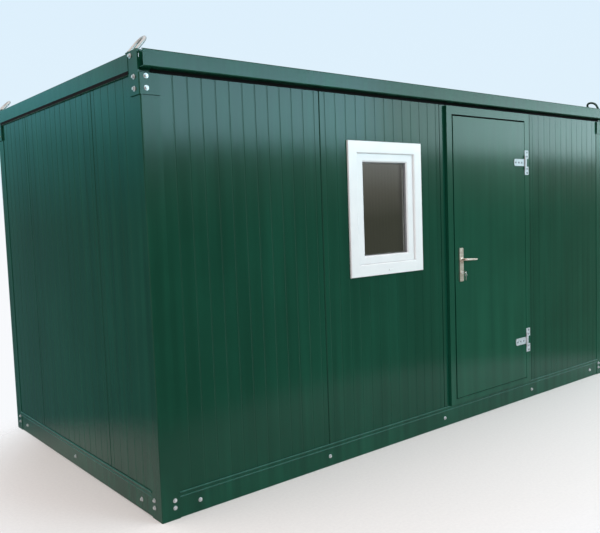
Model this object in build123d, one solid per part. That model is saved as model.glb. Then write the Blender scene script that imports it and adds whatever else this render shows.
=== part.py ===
"""Portable site cabin: folded steel frame, sandwich-panel walls, one hinged door, one window.

Frame: origin on the ground at the middle of the footprint, +X along the length,
-Y towards the door and window side, +Z up. Millimetres.
"""
from build123d import *
import os

# Wall module: panels of one width stand between the corner posts
STEEL = 3  # folded sheet of the frame
FOLD_RADIUS = 5  # outside of each bend
PANEL_WIDTH = 1100
PANEL_THICKNESS = 50
PANEL_HEIGHT = 2152
FRONT_BAYS = 4
END_BAYS = 2
PANEL_GAP = 2  # open line between two panels
PANEL_EDGE = 4  # chamfer beside that line
GROOVES_PER_PANEL = 13
GROOVE_MOUTH = 8
GROOVE_FLOOR = 3
GROOVE_DEPTH = 1

# Base frame
RAIL_HEIGHT = 118
RAIL_FLANGE = 60
RAIL_TIP = 6  # blunted point of the mitre, behind the post flange
JOIST_WIDTH = 50
JOIST_END_GAP = 4  # stays clear of the bends inside the rails
DECK_THICKNESS = 22
FOOT_STRIP_HEIGHT = 24

# Corner posts: flanges on both faces and a square core
POST_FLANGE = 106

# Roof frame: the eaves are folded into a rain gutter that is open at both ends
ROOF_DEPTH = 105
EAVES_PROJECTION = 48
EAVES_DROP = 20  # wall band below the projecting fascia
EAVES_LIP = 14
EAVES_BACK = 68  # back wall of the gutter, above the wall top
EAVES_FOLD = 12  # width of the fold over that back wall
EAVES_SHELF = 100
END_BEAM_PROUD = 10
END_BEAM_TOP_INSET = 45
ROOF_PANEL_THICKNESS = 70
ROOF_PANEL_INSET = 19
ROOF_RIBS = 4
ROOF_RIB_TOP = 30
ROOF_RIB_BASE = 66
ROOF_RIB_HEIGHT = 20

# Corner brackets and lifting eyes
BRACKET_PLATE = 8
BRACKET_TOP_PLATE = 6
BRACKET_TOP_WIDTH = 34
BRACKET_TOP_LENGTH = 112
BRACKET_WIDTH = 100
BRACKET_DROP = 107  # reach below the wall top
BRACKET_GAP = 2
BRACKET_CORNER = 5
EYE_BAR = 16
EYE_SIDES = 8  # the bar is drawn with flats
EYE_SPAN = 82  # between the middles of the two legs
EYE_LEG = 56
EYE_FOOT_INSET = 4
EYE_MIDDLE = 68  # from the corner to the middle of an eye, across the cabin
EYE_LEAN = 45  # degrees from upright, inwards along the length

# Door set, in the third bay of the front
DOOR_BAY = 2
DOOR_STRIP_LATCH = 54
DOOR_STRIP_HINGE = 40
DOOR_PROUD = 20
DOOR_FRAME_FACE = 56
DOOR_STOP = 21  # step of the stop beyond the frame face
DOOR_GAP = 12
DOOR_STOP_GAP = 6
DOOR_HEAD_DROP = 4
DOOR_SILL_FACE = 30
LEAF_THICKNESS = 45

# T-hinges
HINGE_PLATE = 4
KNUCKLE_RADIUS = 7
KNUCKLE_SEAT = 0.3
KNUCKLE_GAP = 0.6
KNUCKLE_LENGTH = 26
PIN_RADIUS = 4
PIN_CLEARANCE = 0.05
STRAP_LENGTH = 142
STRAP_WIDTH = 54
STRAP_TIP = 16
FRAME_LEAF_WIDTH = 50
FRAME_LEAF_HEIGHT = 190
FRAME_LEAF_CORNER = 6
FRAME_LEAF_NOTCH = 9
FRAME_LEAF_WAIST = 22  # cut into the outer edge
FRAME_LEAF_WAIST_HEIGHT = 62
HINGE_INSET_FOOT = 300  # from the lower edge of the leaf to the middle of a hinge
HINGE_INSET_HEAD = 310

# Lock and lever handle
LOCK_BACKSET = 63
LEVER_RISE = 1002  # above the lower edge of the leaf
LOCK_SPACING = 92  # from the lever down to the cylinder
LOCK_PLATE_HEAD = 82
LOCK_PLATE_FOOT = 66
LOCK_PLATE_WIDTH = 43
LOCK_PLATE_THICKNESS = 8
LOCK_PLATE_CORNER = 8
CYLINDER_RADIUS = 12
CYLINDER_PROUD = 4
CYLINDER_CLEARANCE = 0.3
SPINDLE_RADIUS = 5
SPINDLE_HOLE = 9
NECK_RADIUS = 9
NECK_GAP = 0.5
NECK_LENGTH = 38
LEVER_LENGTH = 118
LEVER_WAVE = 6
LEVER_BEND = 60
LEVER_DEPTH = 11
LEVER_TALL = 16
LEVER_EDGE = 2
KEY_BLADE = 2.5
KEY_STEM = 12
KEY_STEM_HEIGHT = 7
KEY_BOW_RADIUS = 12
KEY_BOW_HOLE = 3.5

# Window, in the second bay of the front
WINDOW_BAY = 1
WINDOW_WIDTH = 672
WINDOW_HEIGHT = 851
WINDOW_HEAD_DROP = 277  # from the wall top down to the frame
WINDOW_PROUD = 15
WINDOW_LAP = 20
WINDOW_FRAME_FACE = 76
WINDOW_SASH_FACE = 60
WINDOW_SASH_RECESS = 13
WINDOW_SASH_DEPTH = 46
WINDOW_BEAD = 16
GLASS_RECESS = 24
GLASS_THICKNESS = 20

OVERRUN = 10  # how far a cutting shape passes the face it cuts

# Places that follow from the sizes above
POST_CORE = STEEL + PANEL_THICKNESS
LENGTH = 2 * POST_CORE + FRONT_BAYS * PANEL_WIDTH
WIDTH = 2 * POST_CORE + END_BAYS * PANEL_WIDTH
WEST = -LENGTH / 2
FRONT = -WIDTH / 2
FACE = FRONT + STEEL  # outer face of the front panels
INSIDE = FRONT + POST_CORE  # inner face of the front panels
WALL_TOP = RAIL_HEIGHT + PANEL_HEIGHT
ROOF_TOP = WALL_TOP + ROOF_DEPTH
BAY_START = WEST + POST_CORE
WINDOW_LOW = WALL_TOP - WINDOW_HEAD_DROP - WINDOW_HEIGHT
DOOR_LEFT = BAY_START + DOOR_BAY * PANEL_WIDTH + DOOR_STRIP_LATCH
DOOR_RIGHT = BAY_START + (DOOR_BAY + 1) * PANEL_WIDTH - DOOR_STRIP_HINGE
DOOR_LOW = RAIL_HEIGHT + FOOT_STRIP_HEIGHT
DOOR_HIGH = WALL_TOP - DOOR_HEAD_DROP
DOOR_FACE = FACE - DOOR_PROUD
LEAF_INSIDE = DOOR_FACE + LEAF_THICKNESS
STOP_FACE = LEAF_INSIDE + DOOR_STOP_GAP
LEAF_LEFT = DOOR_LEFT + DOOR_FRAME_FACE + DOOR_GAP
LEAF_RIGHT = DOOR_RIGHT - DOOR_FRAME_FACE - DOOR_GAP
LEAF_LOW = DOOR_LOW + DOOR_SILL_FACE + DOOR_GAP
LEAF_HIGH = DOOR_HIGH - DOOR_FRAME_FACE - DOOR_GAP
HINGE_X = LEAF_RIGHT + DOOR_GAP / 2
HINGE_Y = DOOR_FACE - KNUCKLE_RADIUS - KNUCKLE_SEAT
LOCK_X = LEAF_LEFT + LOCK_BACKSET
LEVER_HEIGHT = LEAF_LOW + LEVER_RISE
CYLINDER_HEIGHT = LEVER_HEIGHT - LOCK_SPACING


def block(x_span, y_span, z_span):
    """A rectangular solid between two limits on each axis."""
    spans = (x_span, y_span, z_span)
    corner = [low for low, high in spans]
    size = [high - low for low, high in spans]
    return Pos(*corner) * Box(*size, align=(Align.MIN, Align.MIN, Align.MIN))


def folded(points):
    """The closed section of a sheet folded along a line of points, thick to the left of it."""
    line = FilletPolyline(*points, radius=FOLD_RADIUS)
    return make_face(offset(line, amount=STEEL, side=Side.LEFT))


def turned(shape):
    """The same piece at the opposite side of the cabin."""
    return Rot(0, 0, 180) * shape


def mirrored(shape):
    """The same piece at the other end of the cabin."""
    return mirror(shape, about=Plane.YZ)


def at_corners(shape):
    """Four copies of a corner piece, front left first, then front right, back right, back left."""
    return [shape, mirrored(shape), turned(shape), turned(mirrored(shape))]


def base_rail(run):
    """A channel along X with its web at y = 0, opening to +Y, mitred at both ends."""
    profile = folded([(RAIL_FLANGE, RAIL_HEIGHT), (0, RAIL_HEIGHT), (0, 0), (RAIL_FLANGE, 0)])
    channel = extrude(Plane.YZ * profile, amount=run / 2, both=True)
    plan = Polyline(
        (RAIL_TIP - run / 2, RAIL_TIP),
        (RAIL_TIP - run / 2, 0),
        (run / 2 - RAIL_TIP, 0),
        (run / 2 - RAIL_TIP, RAIL_TIP),
        (run / 2 - RAIL_FLANGE, RAIL_FLANGE),
        (RAIL_FLANGE - run / 2, RAIL_FLANGE),
        close=True,
    )
    return channel & extrude(make_face(plan), amount=RAIL_HEIGHT)


def base_rails():
    front = Pos(0, FACE, 0) * base_rail(LENGTH - 2 * STEEL)
    left = Pos(WEST + STEEL, 0, 0) * Rot(0, 0, -90) * base_rail(WIDTH - 2 * STEEL)
    return {
        "base_rail_front": front,
        "base_rail_back": turned(front),
        "base_rail_left": left,
        "base_rail_right": turned(left),
    }


def floor_joist(x):
    """A box-section joist across the base, coped at both ends to enter the rails."""
    reach = -FACE - STEEL - JOIST_END_GAP
    tube = Rectangle(JOIST_WIDTH, RAIL_HEIGHT) - Rectangle(JOIST_WIDTH - 2 * STEEL, RAIL_HEIGHT - 2 * STEEL)
    joist = extrude(Plane.XZ * tube, amount=reach, both=True)
    tip = -FACE - RAIL_FLANGE
    for y_span in ((-reach - OVERRUN, -tip), (tip, reach + OVERRUN)):
        core = (STEEL - RAIL_HEIGHT / 2, RAIL_HEIGHT / 2 - STEEL)
        half = JOIST_WIDTH / 2
        cope = block((-half, half), y_span, (-RAIL_HEIGHT / 2, RAIL_HEIGHT / 2))
        joist = joist - (cope - block((-half, half), y_span, core))
    return Pos(x, 0, RAIL_HEIGHT / 2) * joist


def floor():
    joists = [floor_joist(BAY_START + bay * PANEL_WIDTH) for bay in range(1, FRONT_BAYS)]
    deck = block(
        (BAY_START, -BAY_START),
        (INSIDE, -INSIDE),
        (RAIL_HEIGHT, RAIL_HEIGHT + DECK_THICKNESS),
    )
    foot = (RAIL_HEIGHT, RAIL_HEIGHT + FOOT_STRIP_HEIGHT)
    front = block((WEST + POST_FLANGE, -WEST - POST_FLANGE), (FRONT, FACE), foot)
    left = block((WEST, WEST + STEEL), (FRONT + POST_FLANGE, -FRONT - POST_FLANGE), foot)
    return {
        "floor_joists": Compound(children=joists),
        "floor_deck": deck,
        "panel_foot_strips": Compound(children=[front, turned(front), left, turned(left)]),
    }


def corner_posts():
    """A folded angle from the ground to the wall top, with a square core on the base rails."""
    angle = extrude(folded([(0, POST_FLANGE), (0, 0), (POST_FLANGE, 0)]), amount=WALL_TOP)
    ring = Rectangle(PANEL_THICKNESS, PANEL_THICKNESS)
    ring = ring - Rectangle(PANEL_THICKNESS - 2 * STEEL, PANEL_THICKNESS - 2 * STEEL)
    middle = STEEL + PANEL_THICKNESS / 2
    core = Pos(middle, middle, RAIL_HEIGHT) * extrude(ring, amount=PANEL_HEIGHT)
    posts = at_corners(Pos(WEST, FRONT, 0) * (angle + core))
    places = ("front_left", "front_right", "back_right", "back_left")
    return {f"corner_post_{place}": post for place, post in zip(places, posts)}


def wall_panel(width):
    """An upright sandwich panel: outer face on y = 0 with shallow grooves, x from 0 to its width."""
    low = PANEL_GAP / 2
    high = width - PANEL_GAP / 2
    count = max(1, round(GROOVES_PER_PANEL * width / PANEL_WIDTH))
    pitch = width / count
    points = [(low, PANEL_THICKNESS), (low, PANEL_EDGE), (low + PANEL_EDGE, 0)]
    for number in range(count):
        middle = (number + 1 / 2) * pitch
        points.append((middle - GROOVE_MOUTH / 2, 0))
        points.append((middle - GROOVE_FLOOR / 2, GROOVE_DEPTH))
        points.append((middle + GROOVE_FLOOR / 2, GROOVE_DEPTH))
        points.append((middle + GROOVE_MOUTH / 2, 0))
    points += [(high - PANEL_EDGE, 0), (high, PANEL_EDGE), (high, PANEL_THICKNESS)]
    section = make_face(Polyline(*points, close=True))
    return Pos(0, 0, RAIL_HEIGHT) * extrude(section, amount=PANEL_HEIGHT)


def front_panel(bay):
    return Pos(BAY_START + bay * PANEL_WIDTH, FACE, 0) * wall_panel(PANEL_WIDTH)


def end_panels():
    """Half, full and half panels across the left end."""
    widths = [PANEL_WIDTH / 2] + [PANEL_WIDTH] * (END_BAYS - 1) + [PANEL_WIDTH / 2]
    panels = []
    start = -INSIDE
    for width in widths:
        panels.append(Pos(WEST + STEEL, start, 0) * Rot(0, 0, -90) * wall_panel(width))
        start -= width
    return Compound(children=panels)


def window_place():
    """Left and right edges of the window frame, centred in its bay."""
    middle = BAY_START + (WINDOW_BAY + 1 / 2) * PANEL_WIDTH
    return middle - WINDOW_WIDTH / 2, middle + WINDOW_WIDTH / 2


def window_block(inset, y_span):
    """A solid over the window's outline, drawn in by an inset on every side."""
    left, right = window_place()
    z_span = (WINDOW_LOW + inset, WINDOW_LOW + WINDOW_HEIGHT - inset)
    return block((left + inset, right - inset), y_span, z_span)


def walls():
    cut = window_block(WINDOW_LAP, (FACE - OVERRUN, INSIDE + OVERRUN))
    plain = [bay for bay in range(FRONT_BAYS) if bay not in (WINDOW_BAY, DOOR_BAY)]
    nodes = {f"front_panel_{bay + 1}": front_panel(bay) for bay in plain}
    nodes["front_panel_window"] = front_panel(WINDOW_BAY) - cut
    back = [turned(front_panel(bay)) for bay in range(FRONT_BAYS)]
    nodes["back_wall_panels"] = Compound(children=back)
    nodes["left_wall_panels"] = end_panels()
    nodes["right_wall_panels"] = turned(end_panels())
    return nodes


def window():
    face = FACE - WINDOW_PROUD
    through = (face - OVERRUN, INSIDE + OVERRUN)
    flange = window_block(0, (face, FACE))
    body = window_block(WINDOW_LAP, (FACE, INSIDE))
    frame = flange + body - window_block(WINDOW_FRAME_FACE, through)
    sash_face = face + WINDOW_SASH_RECESS
    sight = WINDOW_FRAME_FACE + WINDOW_SASH_FACE
    sash = window_block(WINDOW_FRAME_FACE, (sash_face, sash_face + WINDOW_SASH_DEPTH))
    sash = sash - window_block(sight, through)
    pane_face = sash_face + GLASS_RECESS
    pane = window_block(sight - WINDOW_BEAD, (pane_face, pane_face + GLASS_THICKNESS))
    return {
        "window_frame": frame,
        "window_sash": sash - pane,
        "window_glass": pane,
    }


def roof_panel(bay):
    """A roof panel across the cabin with trapezoid ribs on its top skin."""
    low = PANEL_GAP / 2
    high = PANEL_WIDTH - PANEL_GAP / 2
    pitch = PANEL_WIDTH / ROOF_RIBS
    top = ROOF_PANEL_THICKNESS
    points = [(low, 0), (low, top)]
    for number in range(ROOF_RIBS):
        middle = (number + 1 / 2) * pitch
        points.append((middle - ROOF_RIB_BASE / 2, top))
        points.append((middle - ROOF_RIB_TOP / 2, top + ROOF_RIB_HEIGHT))
        points.append((middle + ROOF_RIB_TOP / 2, top + ROOF_RIB_HEIGHT))
        points.append((middle + ROOF_RIB_BASE / 2, top))
    points += [(high, top), (high, 0)]
    section = Plane.XZ * make_face(Polyline(*points, close=True))
    slab = extrude(section, amount=-FRONT - ROOF_PANEL_INSET, both=True)
    return Pos(BAY_START + bay * PANEL_WIDTH, 0, WALL_TOP + STEEL) * slab


def roof():
    eaves = folded(
        [
            (EAVES_LIP - EAVES_PROJECTION, ROOF_DEPTH),
            (-EAVES_PROJECTION, ROOF_DEPTH),
            (-EAVES_PROJECTION, EAVES_DROP),
            (0, EAVES_DROP),
            (0, EAVES_BACK),
            (EAVES_FOLD, EAVES_BACK),
            (EAVES_FOLD, 0),
            (EAVES_SHELF, 0),
        ]
    )
    front = Pos(0, FRONT, WALL_TOP) * extrude(Plane.YZ * eaves, amount=LENGTH / 2, both=True)
    channel = folded(
        [
            (END_BEAM_TOP_INSET, ROOF_DEPTH),
            (-END_BEAM_PROUD, ROOF_DEPTH),
            (-END_BEAM_PROUD, 0),
            (EAVES_SHELF, 0),
        ]
    )
    run = -FRONT - BRACKET_WIDTH
    left = Pos(WEST, 0, WALL_TOP) * extrude(Plane.XZ * channel, amount=run, both=True)
    return {
        "eaves_beam_front": front,
        "eaves_beam_back": turned(front),
        "roof_end_beam_left": left,
        "roof_end_beam_right": turned(left),
        "roof_panels": Compound(children=[roof_panel(bay) for bay in range(FRONT_BAYS)]),
    }


def corner_fittings():
    """Brackets that tie post, beams and roof at each corner, each with a leaning lifting eye."""
    low = WALL_TOP - BRACKET_DROP
    crown = ROOF_TOP + BRACKET_TOP_PLATE
    angle = block((-BRACKET_PLATE, 0), (0, BRACKET_WIDTH), (low, crown))
    angle += block(
        (-BRACKET_PLATE, POST_FLANGE), (-BRACKET_PLATE, 0), (low, WALL_TOP - BRACKET_GAP)
    )
    seat = (EYE_MIDDLE - BRACKET_TOP_LENGTH / 2, EYE_MIDDLE + BRACKET_TOP_LENGTH / 2)
    angle += block((-BRACKET_PLATE, BRACKET_TOP_WIDTH), seat, (ROOF_TOP, crown))
    corner = angle.edges().filter_by(Axis.Z).sort_by(lambda edge: edge.center().X + edge.center().Y)[0]
    bracket = Pos(WEST, FRONT, 0) * fillet(corner, BRACKET_CORNER)

    half = EYE_SPAN / 2
    path = Polyline((0, -half, -EYE_BAR), (0, -half, EYE_LEG))
    path += ThreePointArc((0, -half, EYE_LEG), (0, 0, EYE_LEG + half), (0, half, EYE_LEG))
    path += Polyline((0, half, EYE_LEG), (0, half, -EYE_BAR))
    bar = RegularPolygon(EYE_BAR / 2, EYE_SIDES, major_radius=False)
    loop = sweep(Pos(0, -half, -EYE_BAR) * bar, path=path)
    loop = Rot(0, EYE_LEAN, 0) * loop
    reach = EYE_SPAN + EYE_BAR
    loop = loop - block((-reach, reach), (-reach, reach), (-reach, 0))
    eye = Pos(WEST + EYE_FOOT_INSET, FRONT + EYE_MIDDLE, crown) * loop
    return {
        "corner_brackets": Compound(children=at_corners(bracket)),
        "lifting_eyes": Compound(children=at_corners(eye)),
    }


def upright(points, y_span):
    """A prism over an outline drawn in the plane of the front wall."""
    near, far = y_span
    outline = make_face(Polyline(*points, close=True))
    return Pos(0, far, 0) * extrude(Plane.XZ * outline, amount=far - near)


def frame_member(face, stop):
    """A door frame member: its face outline outside the wall and its wider stop through the wall."""
    return upright(face, (DOOR_FACE, STOP_FACE)) + upright(stop, (STOP_FACE, INSIDE))


def jamb_outline(width, low):
    """A left jamb with a mitred head."""
    return [
        (DOOR_LEFT, low),
        (DOOR_LEFT, DOOR_HIGH),
        (DOOR_LEFT + width, DOOR_HIGH - width),
        (DOOR_LEFT + width, low),
    ]


def head_outline(width):
    """The head, mitred to both jambs."""
    return [
        (DOOR_LEFT, DOOR_HIGH),
        (DOOR_RIGHT, DOOR_HIGH),
        (DOOR_RIGHT - width, DOOR_HIGH - width),
        (DOOR_LEFT + width, DOOR_HIGH - width),
    ]


def door_frame():
    sill = DOOR_LOW + DOOR_SILL_FACE
    sill_stop = sill + DOOR_STOP
    stop_width = DOOR_FRAME_FACE + DOOR_STOP
    left = frame_member(jamb_outline(DOOR_FRAME_FACE, sill), jamb_outline(stop_width, sill_stop))
    middle = (DOOR_LEFT + DOOR_RIGHT) / 2
    right = Pos(middle, 0, 0) * mirrored(Pos(-middle, 0, 0) * left)
    threshold = block((DOOR_LEFT, DOOR_RIGHT), (DOOR_FACE, STOP_FACE), (DOOR_LOW, sill))
    threshold += block((DOOR_LEFT, DOOR_RIGHT), (STOP_FACE, INSIDE), (RAIL_HEIGHT, sill_stop))
    threshold += block((DOOR_LEFT, DOOR_RIGHT), (FACE, STOP_FACE), (RAIL_HEIGHT, DOOR_LOW))

    bay_left = DOOR_LEFT - DOOR_STRIP_LATCH + PANEL_GAP / 2
    bay_right = DOOR_RIGHT + DOOR_STRIP_HINGE - PANEL_GAP / 2
    wall = (FACE, INSIDE)
    infill = [
        block((bay_left, DOOR_LEFT), wall, (RAIL_HEIGHT, WALL_TOP)),
        block((DOOR_RIGHT, bay_right), wall, (RAIL_HEIGHT, WALL_TOP)),
        block((DOOR_LEFT + PANEL_GAP, DOOR_RIGHT - PANEL_GAP), wall, (DOOR_HIGH, WALL_TOP)),
    ]
    return {
        "door_jamb_left": left,
        "door_jamb_right": right,
        "door_head": frame_member(head_outline(DOOR_FRAME_FACE), head_outline(stop_width)),
        "door_threshold": threshold,
        "door_bay_infill": Compound(children=infill),
    }


def knuckle(radius, low, high):
    return Pos(HINGE_X, HINGE_Y, low) * Cylinder(
        radius, high - low, align=(Align.CENTER, Align.CENTER, Align.MIN)
    )


def hinge_frame_leaf(z):
    """The T-hinge's upright leaf on the jamb, waisted round the strap knuckle, with the pin."""
    plate = Rectangle(FRAME_LEAF_WIDTH, FRAME_LEAF_HEIGHT, align=(Align.MIN, Align.CENTER))
    outer = plate.vertices().group_by(Axis.X)[-1]
    plate = fillet(outer, FRAME_LEAF_CORNER)
    inner = STRAP_WIDTH + 2 * KNUCKLE_GAP
    plate = plate - Rectangle(FRAME_LEAF_NOTCH, inner, align=(Align.MIN, Align.CENTER))
    waist = Rectangle(FRAME_LEAF_WAIST, FRAME_LEAF_WAIST_HEIGHT, align=(Align.MAX, Align.CENTER))
    plate = plate - Pos(FRAME_LEAF_WIDTH, 0) * waist
    leaf = Pos(HINGE_X, DOOR_FACE, z) * extrude(Plane.XZ * plate, amount=HINGE_PLATE)
    near = STRAP_WIDTH / 2 + KNUCKLE_GAP
    far = near + KNUCKLE_LENGTH
    leaf += knuckle(KNUCKLE_RADIUS, z + near, z + far)
    leaf += knuckle(KNUCKLE_RADIUS, z - far, z - near)
    return leaf + knuckle(PIN_RADIUS, z - far, z + far)


def hinge_strap(z):
    """The T-hinge's strap on the door leaf, rounded at its tip and bored for the pin."""
    plate = Rectangle(STRAP_LENGTH, STRAP_WIDTH, align=(Align.MAX, Align.CENTER))
    plate = fillet(plate.vertices().group_by(Axis.X)[0], STRAP_TIP)
    strap = Pos(HINGE_X, DOOR_FACE, z) * extrude(Plane.XZ * plate, amount=HINGE_PLATE)
    low = z - STRAP_WIDTH / 2
    high = z + STRAP_WIDTH / 2
    strap += knuckle(KNUCKLE_RADIUS, low, high)
    return strap - knuckle(PIN_RADIUS + PIN_CLEARANCE, low - OVERRUN, high + OVERRUN)


def rod(radius, y_span):
    """A round rod along Y on the axis x = 0, z = 0."""
    near, far = y_span
    return Pos(0, far, 0) * extrude(Plane.XZ * Circle(radius), amount=far - near)


def spindle_place():
    return Pos(LOCK_X, 0, LEVER_HEIGHT)


def cylinder_place():
    return Pos(LOCK_X, 0, CYLINDER_HEIGHT)


def lock_plate(near):
    """A long backplate with holes for the spindle and the cylinder."""
    height = LOCK_PLATE_HEAD + LOCK_SPACING + LOCK_PLATE_FOOT
    outline = RectangleRounded(LOCK_PLATE_WIDTH, height, LOCK_PLATE_CORNER)
    far = near + LOCK_PLATE_THICKNESS
    middle = CYLINDER_HEIGHT - LOCK_PLATE_FOOT + height / 2
    plate = Pos(LOCK_X, far, middle) * extrude(Plane.XZ * outline, amount=LOCK_PLATE_THICKNESS)
    through = (near - OVERRUN, far + OVERRUN)
    plate = plate - spindle_place() * rod(SPINDLE_RADIUS + PIN_CLEARANCE, through)
    return plate - cylinder_place() * rod(CYLINDER_RADIUS + CYLINDER_CLEARANCE, through)


def lock_cylinder():
    """The lock barrel through leaf and plates, with a key in its outer end."""
    near = DOOR_FACE - LOCK_PLATE_THICKNESS - CYLINDER_PROUD
    far = LEAF_INSIDE + LOCK_PLATE_THICKNESS + CYLINDER_PROUD
    half = KEY_BLADE / 2
    bow_y = near - KEY_STEM - KEY_BOW_RADIUS
    key = block((-half, half), (bow_y, near), (-KEY_STEM_HEIGHT / 2, KEY_STEM_HEIGHT / 2))
    key += Pos(0, bow_y, 0) * extrude(Plane.YZ * Circle(KEY_BOW_RADIUS), amount=half, both=True)
    hole = Pos(0, bow_y - KEY_BOW_RADIUS / 2, 0) * extrude(
        Plane.YZ * Circle(KEY_BOW_HOLE), amount=OVERRUN, both=True
    )
    return cylinder_place() * (rod(CYLINDER_RADIUS, (near, far)) + key - hole)


def lever_arm():
    """A gently waved flat lever along +X, its back on y = 0 and its face towards -Y."""
    third = LEVER_LENGTH / 3
    path = FilletPolyline(
        (0, 0),
        (third, 0),
        (2 * third, -LEVER_WAVE),
        (LEVER_LENGTH, -LEVER_WAVE),
        radius=LEVER_BEND,
    )
    outline = trace(path, line_width=LEVER_TALL) + Circle(NECK_RADIUS)
    outline += Pos(LEVER_LENGTH, -LEVER_WAVE) * Circle(LEVER_TALL / 2)
    arm = extrude(Plane.XZ * outline, amount=LEVER_DEPTH)
    return chamfer(arm.faces().sort_by(Axis.Y)[0].edges(), LEVER_EDGE)


def lever_handle():
    """Levers on both sides of the leaf on one spindle."""
    near = DOOR_FACE - LOCK_PLATE_THICKNESS
    far = LEAF_INSIDE + LOCK_PLATE_THICKNESS
    middle = (near + far) / 2
    half = (far - near) / 2
    arm = Pos(0, -half - NECK_LENGTH, 0) * lever_arm()
    neck = rod(NECK_RADIUS, (-half - NECK_LENGTH, -half - NECK_GAP))
    side = arm + neck
    handle = side + rod(SPINDLE_RADIUS, (-half - NECK_GAP, half + NECK_GAP))
    handle += mirror(side, about=Plane.XZ)
    return spindle_place() * Pos(0, middle, 0) * handle


def door():
    leaf = block((LEAF_LEFT, LEAF_RIGHT), (DOOR_FACE, LEAF_INSIDE), (LEAF_LOW, LEAF_HIGH))
    through = (DOOR_FACE - OVERRUN, LEAF_INSIDE + OVERRUN)
    leaf = leaf - spindle_place() * rod(SPINDLE_HOLE, through)
    leaf = leaf - cylinder_place() * rod(CYLINDER_RADIUS + CYLINDER_CLEARANCE, through)
    heights = (LEAF_LOW + HINGE_INSET_FOOT, LEAF_HIGH - HINGE_INSET_HEAD)
    plates = [lock_plate(DOOR_FACE - LOCK_PLATE_THICKNESS), lock_plate(LEAF_INSIDE)]
    return {
        "door_leaf": leaf,
        "hinge_frame_leaves": Compound(children=[hinge_frame_leaf(z) for z in heights]),
        "hinge_straps": Compound(children=[hinge_strap(z) for z in heights]),
        "lock_plates": Compound(children=plates),
        "lock_cylinder": lock_cylinder(),
        "lever_handle": lever_handle(),
    }


def main():
    os.makedirs("parts", exist_ok=True)
    nodes = {}
    for make in (base_rails, floor, corner_posts, walls, window, roof, corner_fittings, door_frame, door):
        nodes.update(make())
    for name, shape in nodes.items():
        export_step(shape, f"parts/{name}.step")
    print(f"{len(nodes)} nodes, length {LENGTH}, width {WIDTH}, roof frame top {ROOF_TOP}")
    print(f"hinge axis {HINGE_X:.2f} {HINGE_Y:.2f}, spindle {LOCK_X:.2f} {LEVER_HEIGHT}")


main()
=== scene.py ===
# %% [markdown]
# Dressing a portable site cabin.
# The frame that is loaded here already holds every folded rail, panel, hinge and lock at its real
# size. This lesson gives those pieces their finish and adds what is too small for the frame: bolts,
# screws, seals, keys, the window's moulded sections and the sheets that line the room.

# %% Load the frame and keep its box
import math

import bmesh
import bpy
from mathutils import Matrix, Vector


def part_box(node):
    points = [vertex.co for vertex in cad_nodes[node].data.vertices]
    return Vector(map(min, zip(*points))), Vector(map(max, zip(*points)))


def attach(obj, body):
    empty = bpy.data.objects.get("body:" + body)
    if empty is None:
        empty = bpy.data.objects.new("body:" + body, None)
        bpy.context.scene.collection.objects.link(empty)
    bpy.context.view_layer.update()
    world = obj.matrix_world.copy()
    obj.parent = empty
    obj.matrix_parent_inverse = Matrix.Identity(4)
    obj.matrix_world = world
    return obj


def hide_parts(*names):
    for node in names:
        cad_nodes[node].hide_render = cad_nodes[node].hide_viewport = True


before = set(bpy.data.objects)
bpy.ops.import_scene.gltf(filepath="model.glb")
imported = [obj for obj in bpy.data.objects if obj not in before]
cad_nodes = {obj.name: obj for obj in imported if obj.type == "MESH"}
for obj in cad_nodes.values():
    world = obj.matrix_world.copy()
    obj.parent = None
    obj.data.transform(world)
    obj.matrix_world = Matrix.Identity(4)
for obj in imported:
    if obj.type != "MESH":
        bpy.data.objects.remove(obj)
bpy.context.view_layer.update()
scene = bpy.context.scene

# %% [markdown]
# Helpers for materials.
# A shader is a chain of small nodes. One helper adds a node, sets its options, and sets or links its
# inputs, so that each finish below reads from top to bottom like a recipe. Every pattern is laid on
# Object coordinates in metres, because the pieces have no picture maps and their places are in
# their meshes: a pattern written at real scale then stays on the steel when a door swings.

# %% Node helpers
def add_node(tree, kind, inputs=(), **options):
    """Adds a node; an input that is a socket is linked, any other value is set."""
    made = tree.nodes.new(kind)
    for option, value in options.items():
        setattr(made, option, value)
    for socket, value in dict(inputs).items():
        if isinstance(value, bpy.types.NodeSocket):
            tree.links.new(value, made.inputs[socket])
        else:
            made.inputs[socket].default_value = value
    return made


def new_finish(name, **sockets):
    """A material with its shader's plain sockets set; returns it with its tree, shader and coordinates."""
    material = bpy.data.materials.new(name)
    material.use_nodes = True
    tree = material.node_tree
    shader = tree.nodes["Principled BSDF"]
    for socket, value in sockets.items():
        shader.inputs[socket.replace("_", " ")].default_value = value
    place = add_node(tree, "ShaderNodeTexCoord").outputs["Object"]
    return material, tree, shader, place


def link(tree, socket, shader, name):
    """Feeds one of a shader's sockets."""
    tree.links.new(socket, shader.inputs[name])


print("node helpers:", add_node.__name__, new_finish.__name__, link.__name__)

# %% Pattern helpers
def calc(tree, operation, *values):
    """One step of arithmetic on tones or coordinates."""
    return add_node(tree, "ShaderNodeMath", dict(enumerate(values)), operation=operation).outputs[0]


def axis(tree, place, letter):
    """One of a place's three coordinates."""
    return add_node(tree, "ShaderNodeSeparateXYZ", {"Vector": place}).outputs[letter]


def noise(tree, place, scale, detail=3.0, stretch=None):
    """Soft random tones; stretch draws them out along an axis."""
    if stretch:
        place = add_node(tree, "ShaderNodeMapping", {"Vector": place, "Scale": stretch}).outputs[0]
    made = add_node(tree, "ShaderNodeTexNoise", {"Vector": place, "Scale": scale, "Detail": detail})
    return made.outputs["Fac"]


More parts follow.
